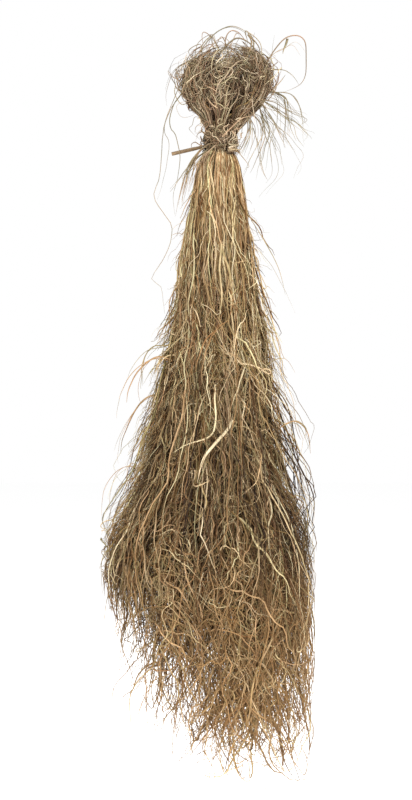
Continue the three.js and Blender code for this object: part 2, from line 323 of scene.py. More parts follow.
    # what the material reads
    kept = tilted.outputs[0]
    base = stored("base")
    free = maths("SUBTRACT", 1.0, maths("CEIL", base))  # 0 where the guide gives a tone
    tone = maths("MULTIPLY_ADD", free, chance(0.0, 1.0, stem, 14), base)
    # painted shade: `deep` darkens a stem the further inside its bunch it runs; loose stems with their own
    # tone get none
    inside = maths("MULTIPLY", maths("SUBTRACT", 1.0, outwards), stemForm["paintedShadeStrength"])
    facts = (("tone", tone), ("hue", chance(0.0, 1.0, clump, 16)), ("deep", maths("MULTIPLY", inside, free)))
    for name, value in facts:
        kept = addNode(tree, "GeometryNodeStoreNamedAttribute", {
            "Geometry": kept, "Name": name, "Value": value}, data_type="FLOAT", domain="POINT").outputs[0]

    # the stem itself: a thin three-sided blade that tapers to its tip
    ring = addNode(tree, "GeometryNodeCurvePrimitiveCircle", {"Resolution": 3, "Radius": 1.0},
                   mode="RADIUS")
    flatness = addNode(tree, "ShaderNodeCombineXYZ", {"X": 1.0, "Y": given["Flatness"], "Z": 1.0})
    section = addNode(tree, "GeometryNodeTransform", {
        "Geometry": ring.outputs[0], "Scale": flatness.outputs[0]})
    taper = maths("SUBTRACT", 1.0, maths("MULTIPLY", maths("POWER", along, 3.0), stemForm["taper"]))
    varied = maths("MULTIPLY_ADD", maths("POWER", chance(0.0, 1.0, stem, 15), 3.0),
                   stemForm["extraGirth"], stemForm["leastGirth"])
    girth = maths("MULTIPLY", maths("MULTIPLY", given["Thickness"], taper), varied)
    girth = maths("MULTIPLY", girth, stored("girth"))
    solid = addNode(tree, "GeometryNodeCurveToMesh", {
        "Curve": kept, "Profile Curve": section.outputs[0], "Scale": girth, "Fill Caps": True})
    real = addNode(tree, "GeometryNodeRealizeInstances", {"Geometry": solid.outputs[0]})
    coloured = addNode(tree, "GeometryNodeSetMaterial", {
        "Geometry": real.outputs[0], "Material": given["Material"]})
    addNode(tree, "NodeGroupOutput", {"Stems": coloured.outputs[0]})
    return tree


bunchTree = makeBunchTree()
bunchSockets = {item.name: item.identifier for item in bunchTree.interface.items_tree
                if item.in_out == "INPUT"}
overhang = {"least": (0.016, 0.014, 0.03), "most": (0.018, 0.014, 0.03)}   # m that stems may pass the CAD
anyStem = {
    "Flatness": 0.55, "Spread": 1.0, "Heading": 0.0, "Lift": 0.0, "Roam": 300 * mm, "Tip curl": 0.0,
    "Hold": 0.0, "Hold centre": (0, 0, 0), "Hold radii": (1, 1, 1),
    "Least corner": tuple(cadBox[0][i] - overhang["least"][i] for i in range(3)),
    "Most corner": tuple(cadBox[1][i] + overhang["most"][i] for i in range(3)),
}


def polyline(name, guides):  # guide lines as a mesh of edges, with what each of their points carries
    points, edges = [], []
    facts = {"side": [], "depth": [], "loose": [], "girth": [], "base": []}
    for guide in guides:
        first = len(points)
        points += [tuple(p) for p in guide["points"]]
        edges += [(first + i, first + i + 1) for i in range(len(guide["points"]) - 1)]
        for key in facts:
            value = guide.get(key, {"girth": 1.0, "base": 0.0}.get(key))
            facts[key] += [value] * len(guide["points"]) if np.isscalar(value) else list(value)
    mesh = bpy.data.meshes.new(name)
    mesh.from_pydata(points, edges, [])
    for key, values in facts.items():
        isVector = key in ("side", "depth")
        attribute = mesh.attributes.new(key, "FLOAT_VECTOR" if isVector else "FLOAT", "POINT")
        attribute.data.foreach_set("vector" if isVector else "value",
                                   np.array(values, dtype=np.float32).ravel())
    shape = bpy.data.objects.new(name, mesh)
    scene.collection.objects.link(shape)
    return shape


uvCell = {"edge": 0.12, "width": 0.76, "foot": 0.05, "length": 0.9, "footCap": 0.004, "tipCap": 0.97,
          "capSize": 0.02, "stemWidth": 4}   # shares of a stem's cell, and the mm that its width counts as


def unwrapStems(mesh, rings):  # each stem has its own upright cell: its length up it, its sides across it
    corners = np.empty(len(mesh.loops), dtype=np.int32)
    mesh.loops.foreach_get("vertex_index", corners)
    totals = np.empty(len(mesh.polygons), dtype=np.int32)
    mesh.polygons.foreach_get("loop_total", totals)
    places = np.empty(len(mesh.vertices) * 3)
    mesh.vertices.foreach_get("co", places)
    middles = places.reshape(-1, rings, 3, 3).mean(axis=2)
    lengths = np.linalg.norm(np.diff(middles, axis=1), axis=2).sum(axis=1)
    stem, within = np.divmod(corners, rings * 3)
    ring, around = np.divmod(within, 3)
    starts = np.concatenate(([0], np.cumsum(totals)[:-1]))
    wrap = np.maximum.reduceat(around, starts) - np.minimum.reduceat(around, starts)
    crossesSeam = np.repeat(wrap == 2, totals)
    isCap = np.repeat(totals == 3, totals)
    across = np.where(crossesSeam & ~isCap & (around == 0), 3, around) / 3
    up = uvCell["foot"] + uvCell["length"] * ring / (rings - 1)
    capHeight = np.where(ring == 0, uvCell["footCap"], uvCell["tipCap"]) + uvCell["capSize"] * (around == 1)
    up = np.where(isCap, capHeight, up)
    count = len(mesh.vertices) // (rings * 3)
    rows = max(1, round(math.sqrt(count * uvCell["stemWidth"] * mm / lengths.mean())))
    columns = math.ceil(count / rows)
    row, column = np.divmod(stem, columns)
    layer = mesh.uv_layers.new(name="OFBake")
    flat = np.column_stack([(column + uvCell["edge"] + uvCell["width"] * across) / columns,
                            (row + up) / rows])
    layer.data.foreach_set("uv", flat.ravel())


def growBunch(name, guides, settings, material, seed):
    source = polyline(name + "Guides", guides)
    modifier = source.modifiers.new("grow", "NODES")
    modifier.node_group = bunchTree
    for key, value in {**anyStem, **settings}.items():
        modifier[bunchSockets[key]] = value
    modifier[bunchSockets["Seed"]] = seed
    modifier[bunchSockets["Material"]] = material
    grown = source.evaluated_get(bpy.context.evaluated_depsgraph_get())
    mesh = bpy.data.meshes.new_from_object(grown)
    source.modifiers.clear()
    bpy.data.objects.remove(source)
    mesh.name = name
    mesh.shade_smooth()
    unwrapStems(mesh, settings["Points"])
    piece = bpy.data.objects.new(name, mesh)
    scene.collection.objects.link(piece)
    print(f"  {name}: {len(mesh.loops) - 2 * len(mesh.polygons)} triangles")
    return piece


view = {"height": 0.973, "centre": (-0.017, -0.309), "lens": 100, "sensor": 36}
camera = bpy.data.cameras.new("camera")
camera.sensor_fit = "VERTICAL"
camera.sensor_height = view["sensor"]
camera.lens = view["lens"]
distance = view["height"] * view["lens"] / view["sensor"]
cameraObject = bpy.data.objects.new("camera", camera)
cameraObject.location = (view["centre"][0], -distance, view["centre"][1])
cameraObject.rotation_euler = (math.pi / 2, 0, 0)
scene.collection.objects.link(cameraObject)
scene.camera = cameraObject
scene.view_settings.view_transform = "Standard"

studio = {
    "floorDrop": 0.10, "reach": 12, "floorColour": "f2f2f2", "floorGlow": 0.58, "skyLight": 0.45,
    "aim": (0, 0, -0.3),
    "lamps": {   # place in m, size in m, power in W
        "key": ((-1.1, -2.0, 1.7), 1.0, 106),
        "fill": ((1.9, -1.8, 0.2), 1.6, 65),
        "back": ((0.6, 2.4, 1.4), 1.6, 60),
    },
}


def makeStudio():
    world = bpy.data.worlds.new("studio")
    world.use_nodes = True
    tree = world.node_tree
    tree.nodes.clear()
    seen = addNode(tree, "ShaderNodeLightPath").outputs["Is Camera Ray"]
    strength = addNode(tree, "ShaderNodeMapRange", {0: seen, 3: studio["skyLight"], 4: 1.0}).outputs[0]
    sky = addNode(tree, "ShaderNodeBackground", {"Color": (1, 1, 1, 1), "Strength": strength})
    addNode(tree, "ShaderNodeOutputWorld", {"Surface": sky.outputs[0]})
    scene.world = world
    low = cadBox[0][2] - studio["floorDrop"]
    reach = studio["reach"]
    mesh = bpy.data.meshes.new("floor")
    corners = [(-reach, -reach, low), (reach, -reach, low), (reach, reach, low), (-reach, reach, low)]
    mesh.from_pydata(corners, [], [(0, 1, 2, 3)])
    floor = bpy.data.objects.new("floor", mesh)
    scene.collection.objects.link(floor)
    material = bpy.data.materials.new("mattPaperFloor")  # plain paper: no shine, and an even white ground
    material.use_nodes = True
    shader = material.node_tree.nodes["Principled BSDF"]
    shader.inputs["Base Color"].default_value = hexColour(studio["floorColour"])
    shader.inputs["Roughness"].default_value = 0.9
    shader.inputs["Emission Color"].default_value = (1, 1, 1, 1)
    shader.inputs["Emission Strength"].default_value = studio["floorGlow"]
    mesh.materials.append(material)
    for name, (place, size, power) in studio["lamps"].items():
        lamp = bpy.data.lights.new(name, "AREA")
        lamp.size = size
        lamp.energy = power
        holder = bpy.data.objects.new(name, lamp)
        holder.location = place
        aim = Vector(studio["aim"]) - Vector(place)
        holder.rotation_euler = aim.to_track_quat("-Z", "Y").to_euler()
        scene.collection.objects.link(holder)


makeStudio()
print("studio made")


neckEnd = {"heights": [-3, -10], "shares": [0.5, 0.74]}  # how the stems run up under the binding
looseness = {"heights": [-5, -40, -120, -220, -340, -440, -760],
             "values": [0.05, 0.35, 0.55, 0.75, 1.1, 1.3, 1.2]}
fullness = {"heights": [-5, -60, -260, -300, -340, -420, -450, -480, -510, -600, -760],
            "values": [0.95, 0.86, 0.84, 0.8, 0.77, 0.77, 0.88, 0.96, 1.08, 1.12, 1.0], "rightLoss": 0.13,
            "rightSpan": 60, "endShare": 0.9, "hemShare": 0.85,
            "depthShares": [1, 1, 1, 1, 1, 0.97, 0.93, 0.9, 0.84, 0.8, 0.8], "hemDepth": 0.45}


def latticeOf(node):  # a soft solid's rings of corners, from the top down
    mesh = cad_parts[node].data
    points = np.array([tuple(v.co) for v in mesh.vertices])
    levels = np.unique(np.round(points[:, 2], 4))[::-1]
    rings = []
    for level in levels:
        ring = points[np.abs(points[:, 2] - level) < 0.06 * mm]  # the corners on this level
        low, high = ring.min(axis=0), ring.max(axis=0)
        rings.append((ring, (low + high) / 2))
    return rings


def halfWidths(ring, middle, axis=0.0):  # a ring's half widths, round the upright axis and away from it
    away = np.array([middle[0] - axis, middle[1], 0.0])
    reach = np.linalg.norm(away)
    outward = away / reach if reach > 3 * mm else np.array([0.0, -1.0, 0.0])
    across = np.array([-outward[1], outward[0], 0.0])
    offsets = ring - middle
    return across * np.abs(offsets @ across).max(), outward * np.abs(offsets @ outward).max()


def lockGuide(node, hem=0):  # `hem` is how many mm the stems hang below the lock's own end
    stations = []
    axis = np.array([middle for ring, middle in latticeOf("skirt_heart")])[::-1]
    drops = -np.array(fullness["heights"])
    for ring, middle in latticeOf(node):
        side, depth = halfWidths(ring, middle)
        full = np.interp(-middle[2] / mm, drops, fullness["values"])
        full *= 1 - fullness["rightLoss"] * np.clip(middle[0] / (fullness["rightSpan"] * mm), 0, 1)
        deep = np.interp(-middle[2] / mm, drops, fullness["depthShares"])
        grow = np.array([full, full * deep, 1])
        centre = np.array([np.interp(middle[2], axis[:, 2], axis[:, i]) for i in (0, 1)] + [middle[2]])
        stations.append((centre + (middle - centre) * grow, side * grow, depth * grow))
    top = stations[0]
    points, sides, depths = [], [], []
    for height, share in zip(neckEnd["heights"], neckEnd["shares"]):
        points.append((top[0][0] * share, top[0][1] * share, height * mm))
        sides.append(top[1] * share)
        depths.append(top[2] * share)
    last = len(stations) - 3
    for i, (middle, side, depth) in enumerate(stations):
        if i > last:  # the hem stays full, and its stems' own lengths make it ragged
            side = stations[last][1] * fullness["endShare"]
            depth = stations[last][2] * fullness["endShare"]
        points.append(tuple(middle))
        sides.append(side)
        depths.append(depth)
    if hem:
        end = stations[-1][0]
        points.append((end[0], end[1] * fullness["hemDepth"], end[2] - hem * mm))
        sides.append(sides[-1] * fullness["hemShare"])
        depths.append(depths[-1] * fullness["hemShare"])
    heights = [p[2] / mm for p in points]
    loose = np.interp(-np.array(heights), -np.array(looseness["heights"]), looseness["values"])
    return {"points": points, "side": sides, "depth": depths, "loose": loose}


longStems = {"Stems per guide": 80, "Points": 48, "Thickness": 0.92 * mm, "Shell": 0.0, "Clump": 3,
             "Clump spread": 0.18, "First start": 0.0, "Last start": 0.0, "Least length": 0.33,
             "Most length": 0.98, "Heading": 0.16, "Wander": 1.25, "Wander size": 45 * mm, "Tip curl": 3,
             "Lift": 0.4, "Roam": 250 * mm}
tangle = {"Stems per guide": 345, "Points": 20, "Thickness": 0.88 * mm, "Shell": 0.6, "Clump": 2,
          "Clump spread": 0.3, "First start": 0.2, "Last start": 0.78, "Least length": 0.08,
          "Most length": 0.2, "Heading": 1.1, "Wander": 1.6, "Wander size": 42 * mm, "Tip curl": 5.0,
          "Lift": 0.5}
hemStems = {"Stems per guide": 90, "Points": 24, "Thickness": 0.9 * mm, "Shell": -0.8, "Clump": 2,
            "Clump spread": 0.3, "First start": 0.55, "Last start": 0.82, "Least length": 0.14,
            "Most length": 0.4, "Heading": 0.7, "Wander": 1.0, "Wander size": 60 * mm, "Tip curl": 6.0,
            "Lift": 0.5}
crossing = {"Stems per guide": 180, "Points": 17, "Thickness": 0.7 * mm, "Shell": 0.8, "Clump": 2,
            "Clump spread": 0.2, "First start": 0.0, "Last start": 0.72, "Least length": 0.05,
            "Most length": 0.15, "Heading": 1.2, "Wander": 2.4, "Wander size": 24 * mm, "Tip curl": 5.0,
            "Lift": 0.5}
flyaways = {"Stems per guide": 40, "Points": 22, "Thickness": 0.55 * mm, "Shell": 0.9, "Spread": 1.06,
            "Clump": 1, "Clump spread": 0.1, "First start": 0.15, "Last start": 0.9, "Least length": 0.05,
            "Most length": 0.14, "Heading": 1.5, "Wander": 1.4, "Wander size": 35 * mm, "Tip curl": 6.0,
            "Lift": 1.4}
lobe = {"path": [(-48, -14, -240), (-60, -20, -320), (-74, -24, -400), (-100, -26, -460),
                 (-128, -22, -510), (-134, -18, -556)],
        "halfWidths": [8, 12, 17, 24, 32, 30], "side": (0.6, 0.8, 0), "depth": (-0.8, 0.6, 0),
        "stems": {"Stems per guide": 760, "Shell": -0.8, "First start": 0.05, "Last start": 0.9,
                  "Least length": 0.12, "Most length": 0.34, "Thickness": 0.6 * mm, "Heading": 2.4,
                  "Wander": 3.0, "Wander size": 30 * mm, "Tip curl": 8.0, "Lift": 1.2, "Roam": 110 * mm}}
# How many mm each lock's stems hang below its own end.
hems = {"left_lock_back": 20, "left_lock_side": 20, "left_lock_front": 40, "right_lock_back": 10,
        "right_lock_side": 5, "right_lock_front": 10, "front_lock_left": 140, "front_lock_middle": 215,
        "front_lock_right": 175, "back_lock_left": 130, "back_lock_middle": 195, "back_lock_right": 160}
lockNames = {
    "left_locks": ["left_lock_back", "left_lock_side", "left_lock_front"],
    "right_locks": ["right_lock_back", "right_lock_side", "right_lock_front"],
    "front_locks": ["front_lock_left", "front_lock_middle", "front_lock_right"],
    "back_locks": ["back_lock_left", "back_lock_middle", "back_lock_right"],
}


def lobeGuide():  # the curled mass that hangs out of the left side
    points = np.array(lobe["path"], dtype=float) * mm
    wide = np.array(lobe["halfWidths"]) * mm
    return {"points": points, "side": np.outer(wide, lobe["side"]), "depth": np.outer(wide, lobe["depth"]),
            "loose": 1.0}


def makeLocks():
    for seed, (body, nodes) in enumerate(lockNames.items()):
        guides = [lockGuide(node, hems[node]) for node in nodes]
        name = body.split("_")[0]
        pieces = [growBunch(name + "Stems", guides, longStems, skirtGrass, 10 + seed),
                  growBunch(name + "Tangle", guides, tangle, skirtGrass, 30 + seed),
                  growBunch(name + "Crossing", guides, crossing, skirtGrass, 50 + seed),
                  growBunch(name + "Flyaways", guides, flyaways, skirtGrass, 60 + seed),
                  growBunch(name + "Hem", guides, hemStems, skirtGrass, 40 + seed)]
        if name == "left":
            pieces.append(growBunch("leftLobe", [lobeGuide()], {**tangle, **lobe["stems"]}, skirtGrass, 66))
        for piece in pieces:
            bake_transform(piece)
        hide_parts(*nodes)


makeLocks()
print("outer locks made")

innerStems = {**longStems, "Stems per guide": 90, "Points": 40, "Shell": -1.0, "Thickness": 1.2 * mm,
              "Least length": 0.75, "Most length": 0.93}
innerHem = 30   # mm, as for the outer locks
innerNodes = ["inner_lock_" + side for side in ("right", "back_right", "back", "back_left", "left",
                                                "front_left", "front", "front_right")]


def makeInner():
    guides = [lockGuide(node, innerHem) for node in innerNodes]
    inner = growBunch("innerStems", guides, innerStems, innerPaintedShadeGrass, 50)
    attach(inner, "core_hank")
    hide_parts(*innerNodes)
    heart = growBunch("heartStems", [lockGuide("skirt_heart", innerHem)],
                      {**innerStems, "Stems per guide": 360, "Least length": 0.8, "Most length": 1.0},
                      innerPaintedShadeGrass, 60)
    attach(heart, "core_hank")
    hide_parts("skirt_heart")


makeInner()
print("inner locks made")

# The crown is the hank's own ends, folded over into a bun above the binding.
tuftNames = ["right", "back_right", "back", "back_left", "left", "front_left", "front", "front_right"]
crownBall = {"Roam": 120 * mm, "Hold centre": (0.013, 0, 0.068), "Hold radii": (0.052, 0.044, 0.052)}
crownStems = {**crownBall, "Stems per guide": 75, "Points": 26, "Thickness": 0.8 * mm, "Shell": 0.1,
              "Clump": 4, "Clump spread": 0.2, "First start": 0.0, "Last start": 0.1, "Least length": 0.4,
              "Most length": 0.9, "Heading": 0.6, "Wander": 1.1, "Wander size": 45 * mm, "Tip curl": 4.0,
              "Lift": 0.4, "Hold": 0.6}
crownTangle = {**crownBall, "Stems per guide": 95, "Points": 32, "Thickness": 0.62 * mm, "Shell": 0.4,
               "Clump": 2, "Clump spread": 0.3, "First start": 0.25, "Last start": 0.7, "Least length": 0.35,
               "Most length": 0.6, "Heading": 1.8, "Wander": 3.6, "Wander size": 26 * mm, "Tip curl": 8.0,
               "Lift": 1.1, "Hold": 0.4}
crownLoops = {**crownBall, "Stems per guide": 28, "Points": 40, "Thickness": 0.55 * mm, "Shell": 0.6,
              "Clump": 1, "Clump spread": 0.3, "First start": 0.35, "Last start": 0.6, "Least length": 0.4,
              "Most length": 0.65, "Heading": 1.2, "Wander": 2.4, "Wander size": 50 * mm, "Tip curl": 8.0,
              "Lift": 1.0, "Hold": 0.0}


tuftForm = {"axis": 8, "rootHeight": 6, "rootShare": 0.9, "tipShare": 0.4, "tipRise": 3,
            "heights": [8, 22, 50, 130], "loose": [0, 0.25, 0.8, 1.1]}   # lengths in mm


def tuftGuide(node):
    stations = [(middle, *halfWidths(ring, middle, tuftForm["axis"] * mm))
                for ring, middle in latticeOf(node)[::-1]]
    first, root = stations[0], tuftForm["rootShare"]
    points = [(first[0][0] * root, first[0][1] * root, tuftForm["rootHeight"] * mm)]
    points += [tuple(station[0]) for station in stations]
    sides = [first[1] * root] + [station[1] for station in stations]
    depths = [first[2] * root] + [station[2] for station in stations]
    last, tip = stations[-1][0], tuftForm["tipShare"]
    points += [(last[0] * tip, last[1] * tip, last[2] + tuftForm["tipRise"] * mm)]
    sides += [sides[-1]]
    depths += [depths[-1]]
    loose = np.interp([p[2] / mm for p in points], tuftForm["heights"], tuftForm["loose"])
    return {"points": points, "side": sides, "depth": depths, "loose": loose}


def makeCrown():
    nodes = ["crown_tuft_" + name for name in tuftNames]
    guides = [tuftGuide(node) for node in nodes]
    stems = growBunch("crownStems", guides, crownStems, crownGrass, 70)
    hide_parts(*nodes)
    strands = growBunch("crownTangle", guides, crownTangle, crownGrass, 71)
    loops = growBunch("crownLoops", guides, crownLoops, crownGrass, 73)
    core = growBunch("crownCoreStems", [tuftGuide("crown_core")],
                     {**crownStems, "Stems per guide": 260, "Shell": -1.0, "Thickness": 1.1 * mm,
                      "Spread": 1.25, "Least length": 0.6, "Most length": 1.0, "Wander": 2.6,
                      "Tip curl": 9.0}, innerPaintedShadeGrass, 72)
    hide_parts("crown_core")
    for piece, slot in ((stems, "crown_grass"), (strands, "crown_grass"),
                        (loops, "crown_grass"), (core, "inner_grass")):
        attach(piece, "crown_and_binding")


makeCrown()
print("crown made")

# The neck and what is wound round it, in mm and degrees.
neck = {"top": 30, "bottom": -10, "halfWidth": 18, "halfDepth": 16, "stems": 260}
binding = {"turns": 2.2, "points": 52, "way": -1, "top": 12, "bottom": -5, "stems": 24, "halfWidth": 3.4,
           "away": 1.2, "startAngle": -60}
crossBand = {"turns": 1.1, "points": 30, "way": 1, "top": 17, "bottom": -9, "stems": 16, "halfWidth": 2.4,
             "away": 2.6, "startAngle": -150}
tuck = {"from": -68, "to": -14, "points": 9, "height": -4, "away": 5, "halfWidth": 6.5, "halfDepth": 4,
        "stems": 90}
throat = {"top": 0, "bottom": -32, "halfWidth": 8, "stems": 60}
boundStems = {"Points": 14, "Thickness": 0.75 * mm, "Shell": -1.0, "Clump": 2, "Clump spread": 0.2,
              "First start": 0.0, "Last start": 0.05, "Least length": 0.85, "Most length": 1.0,
              "Heading": 0.2, "Wander": 0.5, "Wander size": 15 * mm, "Lift": 0.1}
strays = {"top": 32, "bottom": -14, "away": 5}
strayStems = {**crownTangle, "Stems per guide": 90, "Points": 20, "Shell": 0.8, "First start": 0.0,
              "Last start": 0.6, "Least length": 0.4, "Most length": 0.9, "Hold": 0.0,
              "Wander size": 18 * mm, "Roam": 40 * mm}


def columnGuide(top, bottom, halfWidth, halfDepth):  # a plain upright bundle, in mm
    points = [(0, 0, height * mm) for height in np.linspace(top, bottom, 5)]
    return {"points": points, "side": [(halfWidth * mm, 0, 0)] * 5, "depth": [(0, -halfDepth * mm, 0)] * 5,
            "loose": 1.0}


def roundGuide(angles, heights, away, halfWidth, halfDepth=1.2):  # a flat bundle wound round the neck
    points, sides, depths = [], [], []
    for angle, height in zip(np.radians(angles), heights):
        outward = np.array([math.cos(angle), math.sin(angle), 0.0])
        points.append((outward[0] * (neck["halfWidth"] + away) * mm,
                       outward[1] * (neck["halfDepth"] + away) * mm, height * mm))
        sides.append((0, 0, halfWidth * mm))
        depths.append(outward * halfDepth * mm)
    return {"points": points, "side": sides, "depth": depths, "loose": 1.0}


def woundGuide(band):
    turns = np.linspace(0, band["turns"], band["points"])
    heights = np.interp(turns, [0, band["turns"]], [band["top"], band["bottom"]])
    angles = band["startAngle"] + band["way"] * 360 * turns
    return roundGuide(angles, heights, band["away"], band["halfWidth"])


def makeNeck():
    stems = growBunch("neckStems", [columnGuide(neck["top"], neck["bottom"], neck["halfWidth"],
                                                neck["halfDepth"])],
                      {**boundStems, "Stems per guide": neck["stems"]}, crownGrass, 80)
    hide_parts("neck_fibres")
    band = growBunch("bindingStrands", [woundGuide(binding)],
                     {**boundStems, "Stems per guide": binding["stems"], "Points": 90,
                      "Thickness": 0.9 * mm, "Heading": 0.02, "Wander": 0.3, "Wander size": 30 * mm},
                     crownGrass, 81)
    cross = growBunch("crossingStrands", [woundGuide(crossBand)],
                      {**boundStems, "Stems per guide": crossBand["stems"], "Points": 50,
                       "Thickness": 0.8 * mm, "Heading": 0.05, "Wander": 0.4, "Wander size": 30 * mm},
                      crownGrass, 85)
    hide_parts("neck_binding")
    loose = growBunch("neckStrays", [columnGuide(strays["top"], strays["bottom"],
                                                 neck["halfWidth"] + strays["away"],
                                                 neck["halfDepth"] + strays["away"])],
                      strayStems, crownGrass, 86)
    angles = np.linspace(tuck["from"], tuck["to"], tuck["points"])
    roll = growBunch("tuckedRoll", [roundGuide(angles, [tuck["height"]] * tuck["points"], tuck["away"],
                                               tuck["halfWidth"], tuck["halfDepth"])],
                     {**boundStems, "Stems per guide": tuck["stems"], "Heading": 0.5}, crownGrass, 82)
    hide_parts("binding_tuck")
    for piece, slot in ((stems, "crown_grass"), (band, "sedge_blade"), (cross, "sedge_blade"),
                        (loose, "crown_grass"), (roll, "sedge_blade")):
        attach(piece, "crown_and_binding")
    pivot = growBunch("throatStems", [columnGuide(throat["top"], throat["bottom"], throat["halfWidth"],
                                                  throat["halfWidth"])],
                      {**boundStems, "Stems per guide": throat["stems"]}, innerPaintedShadeGrass, 83)
    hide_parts("throat_fibres")
    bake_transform(pivot)


reed = {"hex": "7d6547", "dark": "54412a", "roughness": 0.5,
        "streak": (25, 1.1, 1.1)}   # mm, coarser across than the real fibres, which are too fine to show


def makeReed():  # a hollow cut reed: smooth and faintly glossy, streaked along its length
    material = bpy.data.materials.new("cutReedStem")
    material.use_nodes = True
    tree = material.node_tree
    tree.nodes.clear()
    place = addNode(tree, "ShaderNodeTexCoord")
    streaked = addNode(tree, "ShaderNodeMapping", {
        "Vector": place.outputs["Object"], "Scale": [1 / (size * mm) for size in reed["streak"]]})
    streak = addNode(tree, "ShaderNodeTexNoise", {
        "Vector": streaked.outputs[0], "Scale": 1.0, "Detail": 3.0})
    ramp = addNode(tree, "ShaderNodeValToRGB", {"Fac": streak.outputs["Fac"]})
    setRamp(ramp, [(0.3, reed["dark"]), (0.65, reed["hex"])])
    bump = addNode(tree, "ShaderNodeBump", {"Height": streak.outputs["Fac"], "Strength": 0.4,
                                            "Distance": 0.3 * mm})
    shader = addNode(tree, "ShaderNodeBsdfPrincipled", {
        "Base Color": ramp.outputs["Color"], "Roughness": reed["roughness"], "IOR": 1.45,
        "Normal": bump.outputs["Normal"]})
    addNode(tree, "ShaderNodeOutputMaterial", {"Surface": shader.outputs[0]})
    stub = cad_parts["binding_tail"]
    stub.data.materials.clear()
    stub.data.materials.append(material)


makeReed()
makeNeck()
print("neck made")


# Single stems that have come loose. Each is a path in mm with how many stems run along it, how far they
# part, how thick they are against a common stem, and their tone from 0, the darkest, to 1, bleached straw.
crownWisps = [
    {"path": [(-26, -15, 108), (-19, -12, 120), (-7, -8, 134), (4, -6, 141), (15, -4, 143), (27, -2, 138),
              (41, 0, 126)], "stems": 2, "part": 2, "girth": 0.8, "tone": 0.6},
    {"path": [(-1, 0, 118), (-10, -3, 131), (-19, -5, 137), (-22, -6, 134), (-20, -8, 124), (-15, -9, 112)],
     "stems": 1, "part": 1, "girth": 0.7, "tone": 0.35},
    {"path": [(6, -4, 114), (6, -6, 131), (11, -8, 138), (19, -8, 135), (27, -6, 122)],
     "stems": 2, "part": 3, "girth": 0.7, "tone": 0.5},
    {"path": [(33, -20, 96), (36, -18, 111), (40, -15, 127), (45, -12, 141)],
     "stems": 1, "part": 1, "girth": 1.3, "tone": 0.04},
    {"path": [(52, -12, 88), (63, -14, 111), (77, -14, 128), (93, -12, 131), (103, -10, 120), (105, -8, 97),
              (100, -6, 78), (89, -4, 69), (66, 0, 62)], "stems": 1, "part": 1, "girth": 0.9, "tone": 0.6},
    {"path": [(52, 6, 98), (68, 8, 115), (82, 8, 122), (94, 6, 128), (105, 4, 118), (110, 2, 109)],
     "stems": 2, "part": 2, "girth": 0.7, "tone": 0.75},
    {"path": [(82, -10, 129), (80, -12, 121), (77, -13, 113), (76, -14, 104)],
     "stems": 1, "part": 0, "girth": 3.2, "tone": 0.66},
    {"path": [(38, -24, 90), (66, -18, 93), (85, -14, 94), (99, -10, 89), (109, -6, 80), (117, -2, 66)],
     "stems": 1, "part": 1, "girth": 0.8, "tone": 0.6},
    {"path": [(60, 0, 66), (76, -2, 62), (90, -4, 51), (103, -6, 37), (114, -8, 26)],
     "stems": 2, "part": 3, "girth": 0.8, "tone": 0.7},
    {"path": [(58, -8, 64), (75, -10, 62), (86, -12, 55), (94, -12, 35), (97, -10, 14), (103, -8, -2)],
     "stems": 9, "part": 13, "girth": 0.7, "tone": 0.66},
    {"path": [(46, -14, 58), (60, -14, 42), (72, -12, 28), (84, -10, 18), (96, -8, 4), (104, -6, -8)],
     "stems": 16, "part": 17, "girth": 0.65, "tone": 0.66},
    {"path": [(62, -20, 62), (67, -20, 69), (75, -18, 78), (83, -15, 90)],
     "stems": 1, "part": 0, "girth": 2.4, "tone": 0.62},
    {"path": [(60, 10, 96), (63, 12, 111), (64, 12, 128), (65, 12, 141)],
     "stems": 1, "part": 1, "girth": 0.6, "tone": 0.6},
    {"path": [(-18, -16, 90), (-37, -14, 88), (-51, -10, 82), (-58, -8, 88), (-62, -6, 94)],
     "stems": 3, "part": 2, "girth": 0.8, "tone": 0.45},
    {"path": [(-28, -16, 52), (-48, -14, 50), (-56, -12, 43), (-52, -12, 30), (-40, -12, 31), (-32, -14, 41),
              (-24, -16, 46)], "stems": 1, "part": 1, "girth": 0.8, "tone": 0.5},
    {"path": [(-14, -18, 27), (-32, -16, 32), (-39, -14, 20), (-44, -12, 15), (-36, -12, 4)],
     "stems": 1, "part": 1, "girth": 0.6, "tone": 0.65},
    {"path": [(-20, -20, -3), (-25, -20, 0), (-29, -20, 3), (-33, -19, 1), (-32, -18, -3), (-28, -18, -3)],
     "stems": 1, "part": 0, "girth": 1.6, "tone": 0.22},
    {"path": [(38, -34, 60), (40, -32, 44), (43, -30, 31), (45, -28, 20)],
     "stems": 1, "part": 0, "girth": 1.6, "tone": 0.8},
    {"path": [(2, -24, 8), (15, -26, 21), (24, -28, 28), (38, -28, 31)],
     "stems": 2, "part": 3, "girth": 1.0, "tone": 0.72},
    {"path": [(-10, 18, 100), (-30, 26, 112), (-48, 34, 104), (-54, 40, 82), (-50, 44, 60)],
     "stems": 2, "part": 5, "girth": 0.8, "tone": 0.6},
    {"path": [(20, 30, 96), (28, 44, 112), (34, 58, 104), (36, 66, 82), (32, 70, 56), (30, 66, 24)],
     "stems": 2, "part": 6, "girth": 0.8, "tone": 0.7},
]
